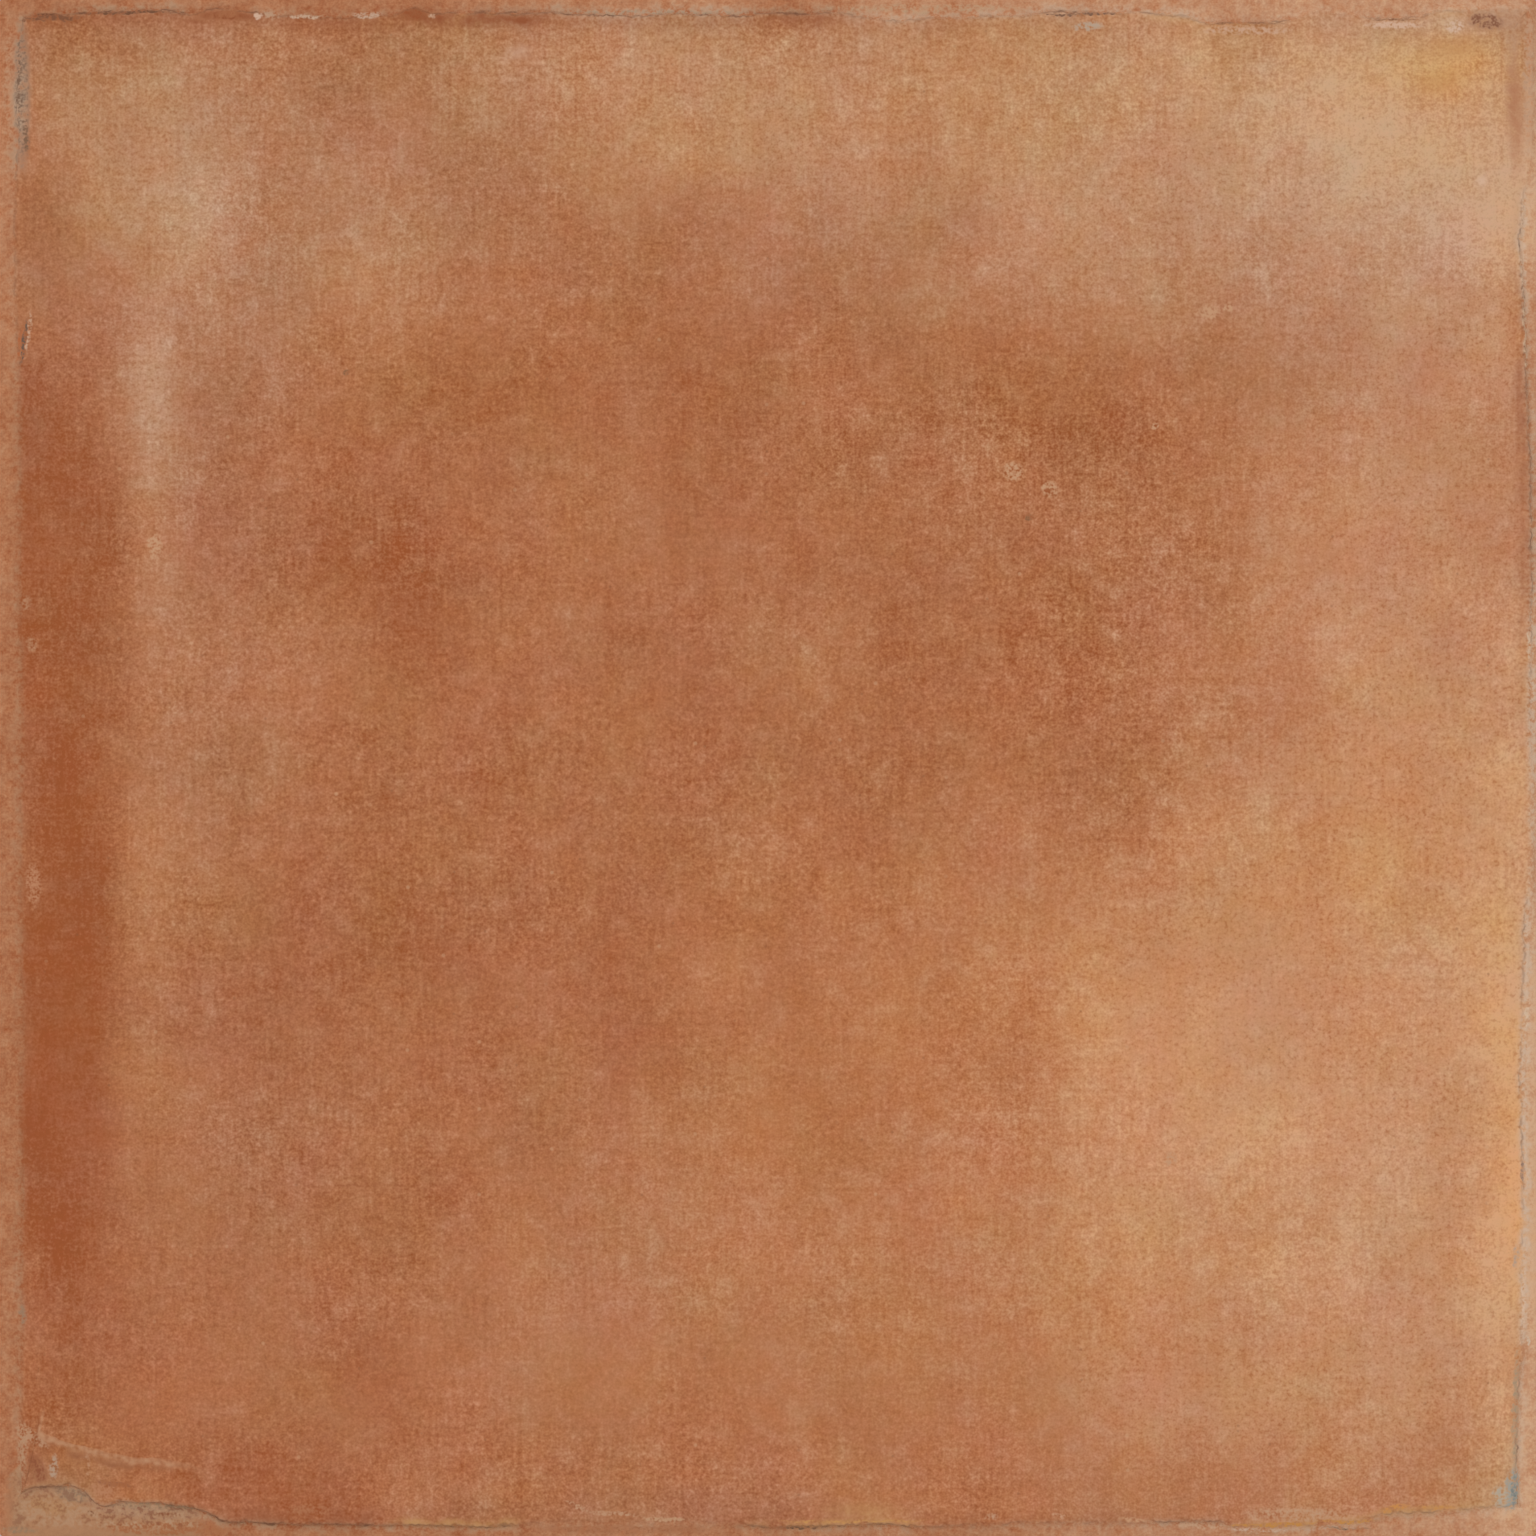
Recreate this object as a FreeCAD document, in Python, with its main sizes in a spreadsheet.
"""Square terracotta floor tile with a worn, chipped edge, in millimetres.

The tile lies flat on its bed at z = 0, walking face up, origin in the middle of the bed.
+X runs to the right of the tile and +Y to its back, as it is seen from above.

One fired piece: a slab whose sides lean in towards the bed, a walking face that stands a
little above a narrow rim, bites broken out of the face's edge, and blind keying grooves
in the bed for the mortar.
"""

import FreeCAD, Part
import math
import os

import Sketcher

# Driving sizes: name, value, what it measures. Lengths in millimetres, angles in degrees.
SIZES = [
    ("tile_side", "300", "side of the square, at the rim where the tile is widest"),
    ("tile_thickness", "20", "bed to walking face"),
    ("rim_band", "4", "height of the upright band at the top of the sides"),
    ("side_lean", "1.5", "how far the sides lean in from that band to the bed, as an angle"),
    ("plan_corner_radius", "1.2", "rounding of the four upright corners"),
    ("bed_chamfer", "0.4", "broken edge round the bed"),
    ("rim_drop", "1.2", "how far the rim lies below the walking face"),
    ("rim_left", "3.5", "width of the rim along the left side"),
    ("rim_right", "2.0", "width of the rim along the right side"),
    ("rim_front", "2.2", "width of the rim along the front"),
    ("rim_back", "2.8", "width of the rim along the back"),
    ("rim_rounding", "0.6", "worn rounding of the rim's outer edge"),
    ("face_corner_radius", "2.0", "rounding of the walking face's corners"),
    ("face_wall_lean", "20", "slope of the small wall between rim and walking face"),
    ("arris_radius", "0.5", "worn rounding of the walking face's edge"),
    ("key_width", "12", "width of one keying groove at the bed"),
    ("key_depth", "1.5", "depth of the keying grooves"),
    ("key_pitch", "28", "spacing of the keying grooves"),
    ("key_margin", "18", "plain border left round the keying grooves"),
    ("key_flank_lean", "35", "slope of the keying grooves' flanks"),
    ("bite_wall_lean", "15", "slope of the broken wall of a bite"),
    ("bite_outside", "10", "how far a bite's outline runs past the side of the tile"),
]

# Bites broken out of the face's edge. Each is an arc over a chord on one side of the tile:
# name, side, the nearer end of that side as one looks in from outside, then the chord's start
# from that end (negative where it starts beyond the corner), the chord's length, the reach
# inwards from the side, the depth at the side below the walking face, and the angle at which
# the broken floor falls towards the side.
BITES = [
    ("flake", "front", "left", "-50", "102", "22", "0.35", "0"),
    ("corner_spall", "front", "left", "-6", "27", "10", "1.6", "4"),
    ("edge_spall", "front", "left", "18", "28", "6.8", "1.6", "6"),
    ("front_right_wear", "front", "right", "-30", "80", "6.5", "1.1", "4"),
    ("back_nick", "back", "left", "44", "26", "4.8", "1.0", "5"),
    ("back_right_spall", "back", "left", "-3", "16", "6.2", "1.5", "7"),
    ("left_wear", "left", "left", "4", "30", "5", "0.9", "4"),
    ("right_back_wear", "right", "right", "5", "30", "5.5", "0.8", "5"),
    ("right_front_spall", "right", "left", "3", "19", "4.5", "1.2", "6"),
]
BITE_SIZES = ("start", "chord", "reach", "depth", "fall")

# Where a side's left-hand corner lies, in half sides, and how far its axes are turned.
SIDE_CORNERS = {
    "front": (-1, -1, 0),
    "right": (1, -1, 90),
    "back": (1, 1, 180),
    "left": (-1, 1, 270),
}

# A sketch numbers an edge's start as point 1 and its end as point 2. Its origin is the start
# of geometry -1.
START, END = 1, 2
ORIGIN = -1
LEVEL_TOLERANCE = 1e-4


def make_sheet(doc):
    """Spreadsheet with one aliased number per driving size."""
    sheet = doc.addObject("Spreadsheet::Sheet", "sizes")
    rows = list(SIZES)
    for name, side, end, *values in BITES:
        for size, value in zip(BITE_SIZES, values):
            rows.append((f"{name}_{size}", value, f"{size} of the {name}, {end} end of the {side}"))
    for row, (alias, value, meaning) in enumerate(rows, start=1):
        sheet.set(f"A{row}", meaning)
        sheet.set(f"B{row}", value)
        sheet.setAlias(f"B{row}", alias)
    doc.recompute()


def make_sketch(body, name, level, corner=(0, 0), turn=0, tilt="0"):
    """Sketch at the given height over a corner of the tile, turned about Z, then tilted about its X."""
    sketch = body.newObject("Sketcher::SketchObject", name)
    plane = next(f for f in body.Origin.OriginFeatures if f.Role == "XY_Plane")
    sketch.AttachmentSupport = [(plane, "")]
    sketch.MapMode = "FlatFace"
    sketch.AttachmentOffset = FreeCAD.Placement(FreeCAD.Vector(), FreeCAD.Rotation(turn, 0, 0))
    for axis, half_sides in zip("xy", corner):
        sketch.setExpression(f".AttachmentOffset.Base.{axis}", f"{half_sides} * sizes.tile_side / 2")
    sketch.setExpression(".AttachmentOffset.Base.z", level)
    sketch.setExpression(".AttachmentOffset.Rotation.Roll", tilt)
    return sketch


def constrain(sketch, kind, *where, to=None):
    """Constraint of a sketch. A dimension takes its value from an expression on the sheet."""
    if to is None:
        return sketch.addConstraint(Sketcher.Constraint(kind, *where))
    value = float(sketch.evalExpression(to))
    index = sketch.addConstraint(Sketcher.Constraint(kind, *where, value))
    sketch.setExpression(f"Constraints[{index}]", to)
    return index


def rounded_rectangle(sketch, left, right, front, back, radius):
    """Rectangle with round corners: four lines and four arcs, each tangent to the next.

    left, right, front and back are expressions for the distances of the four sides from the
    origin, all positive, and radius is the expression for the corners' radius.
    """
    x0, x1, y0, y1, r = (float(sketch.evalExpression(size)) for size in (left, right, front, back, radius))
    centres = [(x1 - r, r - y0), (x1 - r, y1 - r), (r - x0, y1 - r), (r - x0, r - y0)]
    starts = [(r - x0, -y0), (x1, r - y0), (x1 - r, y1), (-x0, y1 - r)]
    ends = [(x1 - r, -y0), (x1, y1 - r), (r - x0, y1), (-x0, r - y0)]
    lines = []
    arcs = []
    for quarter, (start, end, centre) in enumerate(zip(starts, ends, centres)):
        line = Part.LineSegment(FreeCAD.Vector(*start), FreeCAD.Vector(*end))
        circle = Part.Circle(FreeCAD.Vector(*centre), FreeCAD.Vector(0, 0, 1), r)
        arc = Part.ArcOfCircle(circle, (quarter - 1) * math.pi / 2, quarter * math.pi / 2)
        lines.append(sketch.addGeometry(line))
        arcs.append(sketch.addGeometry(arc))
    for corner in range(4):
        constrain(sketch, "Tangent", lines[corner], END, arcs[corner], START)
        constrain(sketch, "Tangent", arcs[corner], END, lines[(corner + 1) % 4], START)
        constrain(sketch, "Vertical" if corner % 2 else "Horizontal", lines[corner])
    for arc in arcs[1:]:
        constrain(sketch, "Equal", arcs[0], arc)
    constrain(sketch, "Radius", arcs[0], to=radius)
    constrain(sketch, "DistanceY", lines[0], START, ORIGIN, START, to=front)
    constrain(sketch, "DistanceX", ORIGIN, START, lines[1], START, to=right)
    constrain(sketch, "DistanceY", ORIGIN, START, lines[2], START, to=back)
    constrain(sketch, "DistanceX", lines[3], START, ORIGIN, START, to=left)


def round_ended_slot(sketch, half_width, half_length):
    """Slot along the sketch's Y: two straight sides joined by two half circles."""
    half_straight = f"{half_length} - {half_width}"
    x = float(sketch.evalExpression(half_width))
    y = float(sketch.evalExpression(half_straight))
    lines = []
    arcs = []
    for side in (1, -1):
        line = Part.LineSegment(FreeCAD.Vector(side * x, -side * y), FreeCAD.Vector(side * x, side * y))
        circle = Part.Circle(FreeCAD.Vector(0, side * y), FreeCAD.Vector(0, 0, 1), x)
        first_angle = 0 if side > 0 else math.pi
        lines.append(sketch.addGeometry(line))
        arcs.append(sketch.addGeometry(Part.ArcOfCircle(circle, first_angle, first_angle + math.pi)))
    for half in range(2):
        constrain(sketch, "Tangent", lines[half], END, arcs[half], START)
        constrain(sketch, "Tangent", arcs[half], END, lines[1 - half], START)
    constrain(sketch, "Vertical", lines[0])
    constrain(sketch, "Vertical", lines[1])
    constrain(sketch, "DistanceX", ORIGIN, START, lines[0], START, to=half_width)
    constrain(sketch, "DistanceX", lines[1], START, ORIGIN, START, to=half_width)
    constrain(sketch, "DistanceY", lines[0], START, ORIGIN, START, to=half_straight)
    constrain(sketch, "DistanceY", ORIGIN, START, lines[0], END, to=half_straight)


def edges_at(shape, level):
    """Names of a shape's edges that lie wholly at one height."""
    return [f"Edge{i}" for i, edge in enumerate(shape.Edges, start=1)
            if abs(edge.BoundBox.ZMin - level) < LEVEL_TOLERANCE
            and abs(edge.BoundBox.ZMax - level) < LEVEL_TOLERANCE]


def soften(body, name, kind, base, level, size_property, size):
    """Fillet or chamfer on every edge of the base feature at one height."""
    body.Document.recompute()
    feature = body.newObject(kind, name)
    feature.Base = (base, edges_at(base.Shape, float(base.evalExpression(level))))
    feature.setExpression(size_property, size)
    return feature


def make_slab(body):
    """Slab under the rim: an upright band at the top, sides leaning in from there to the bed."""
    rim_level = "sizes.tile_thickness - sizes.rim_drop"
    sketch = make_sketch(body, "rim_outline", f"{rim_level} - sizes.rim_band")
    half = "sizes.tile_side / 2"
    rounded_rectangle(sketch, half, half, half, half, "sizes.plan_corner_radius")
    slab = body.newObject("PartDesign::Pad", "slab")
    slab.Profile = sketch
    slab.SideType = "Two sides"
    slab.setExpression("Length", "sizes.rim_band")
    slab.setExpression("Length2", f"{rim_level} - sizes.rim_band")
    slab.setExpression("TaperAngle2", "-sizes.side_lean")
    rim = soften(body, "rim_edge", "PartDesign::Fillet", slab, rim_level, "Radius", "sizes.rim_rounding")
    bed_corner = f"(sizes.plan_corner_radius - ({rim_level} - sizes.rim_band) * tan(sizes.side_lean * 1 deg))"
    chamfer = f"min(sizes.bed_chamfer; {bed_corner} / 2)"
    soften(body, "bed_edge", "PartDesign::Chamfer", rim, "0", "Size", chamfer)


def make_walking_face(body):
    """Walking face: a low plateau inside the rim, with a sloping wall and a worn arris."""
    sketch = make_sketch(body, "face_outline", "sizes.tile_thickness - sizes.rim_drop")
    half = "sizes.tile_side / 2 - sizes.rim_"
    rounded_rectangle(sketch, half + "left", half + "right", half + "front", half + "back",
                      "sizes.face_corner_radius")
    face = body.newObject("PartDesign::Pad", "walking_face")
    face.Profile = sketch
    face.setExpression("Length", "sizes.rim_drop")
    face.setExpression("TaperAngle", "-sizes.face_wall_lean")
    soften(body, "arris", "PartDesign::Fillet", face, "sizes.tile_thickness", "Radius", "sizes.arris_radius")


def cut_bite(body, name, side, end):
    """One bite: an arc over a chord on the tile's side, sunk from the walking face.

    The arc's radius follows from the chord c and the reach h: (c^2 / 4 + h^2) / (2 h).
    The outline is tilted, so the floor falls towards the side.
    """
    size = {key: f"sizes.{name}_{key}" for key in BITE_SIZES}
    *corner, turn = SIDE_CORNERS[side]
    sketch = make_sketch(body, f"{name}_outline", "sizes.tile_thickness", corner, turn, size["fall"])
    start_place = size["start"]
    if end == "right":
        start_place = f"sizes.tile_side - {size['start']} - {size['chord']}"
    start = float(sketch.evalExpression(start_place))
    chord = float(sketch.evalExpression(size["chord"]))
    reach = float(sketch.evalExpression(size["reach"]))
    outside = float(sketch.evalExpression("sizes.bite_outside"))
    left = FreeCAD.Vector(start, 0)
    middle = FreeCAD.Vector(start + chord / 2, reach)
    right = FreeCAD.Vector(start + chord, 0)
    outer_left = FreeCAD.Vector(start, -outside)
    outer_right = FreeCAD.Vector(start + chord, -outside)
    arc = sketch.addGeometry(Part.Arc(right, middle, left))
    out = sketch.addGeometry(Part.LineSegment(left, outer_left))
    along = sketch.addGeometry(Part.LineSegment(outer_left, outer_right))
    back_in = sketch.addGeometry(Part.LineSegment(outer_right, right))
    for first, second in ((arc, out), (out, along), (along, back_in), (back_in, arc)):
        constrain(sketch, "Coincident", first, END, second, START)
    constrain(sketch, "Vertical", out)
    constrain(sketch, "Vertical", back_in)
    constrain(sketch, "Horizontal", along)
    constrain(sketch, "DistanceX", ORIGIN, START, arc, END, to=start_place)
    constrain(sketch, "DistanceX", arc, END, arc, START, to=size["chord"])
    constrain(sketch, "DistanceY", along, START, ORIGIN, START, to="sizes.bite_outside")
    constrain(sketch, "DistanceY", along, START, arc, END, to="sizes.bite_outside")
    constrain(sketch, "DistanceY", along, END, arc, START, to="sizes.bite_outside")
    constrain(sketch, "Radius", arc,
              to=f"({size['chord']}^2 / 4 + {size['reach']}^2) / (2 * {size['reach']})")
    bite = body.newObject("PartDesign::Pocket", name)
    bite.Profile = sketch
    bite.setExpression("Length", size["depth"])
    bite.setExpression("TaperAngle", "-sizes.bite_wall_lean")


def make_keys(body):
    """Blind keying grooves in the bed: one groove with round ends, repeated across the tile."""
    count = "(floor((sizes.tile_side - 2 * sizes.key_margin - sizes.key_width) / sizes.key_pitch) + 1)"
    sketch = make_sketch(body, "key_outline", "0")
    sketch.setExpression(".AttachmentOffset.Base.x", f"-({count} - 1) * sizes.key_pitch / 2")
    round_ended_slot(sketch, "sizes.key_width / 2", "(sizes.tile_side / 2 - sizes.key_margin)")
    groove = body.newObject("PartDesign::Pocket", "keying_groove")
    groove.Profile = sketch
    groove.Reversed = True
    groove.setExpression("Length", "sizes.key_depth")
    groove.setExpression("TaperAngle", "-sizes.key_flank_lean")
    body.Document.recompute()
    keys = body.newObject("PartDesign::LinearPattern", "keying_grooves")
    keys.Originals = [groove]
    keys.Direction = (sketch, ["H_Axis"])
    keys.setExpression("Occurrences", count)
    keys.setExpression("Length", f"({count} - 1) * sizes.key_pitch")
    body.Tip = keys


def check(doc, sub_parts):
    """Stops the build if a feature failed or a sub-part is not one sound solid."""
    for feature in doc.Objects:
        if {"Invalid", "Error"} & set(feature.State):
            raise RuntimeError(f"{feature.Label} failed: {feature.State}")
    for part in sub_parts:
        if part.Shape.isNull() or not part.Shape.isValid() or len(part.Shape.Solids) != 1:
            raise RuntimeError(f"{part.Label} is not one sound solid")


def main():
    doc = FreeCAD.newDocument("floor_tile")
    make_sheet(doc)
    tile = doc.addObject("PartDesign::Body", "floor_tile")
    make_slab(tile)
    make_walking_face(tile)
    for name, side, end, *_ in BITES:
        cut_bite(tile, name, side, end)
    make_keys(tile)
    doc.recompute()
    check(doc, [tile])
    os.makedirs("parts", exist_ok=True)
    tile.Shape.exportStep(f"parts/{tile.Label}.step")
    box = tile.Shape.optimalBoundingBox()
    print(f"{tile.Label}: {box.XLength:.2f} x {box.YLength:.2f} x {box.ZLength:.2f} mm, "
          f"{tile.Shape.Volume / 1000:.1f} cm3, {len(tile.Shape.Faces)} faces")


main()
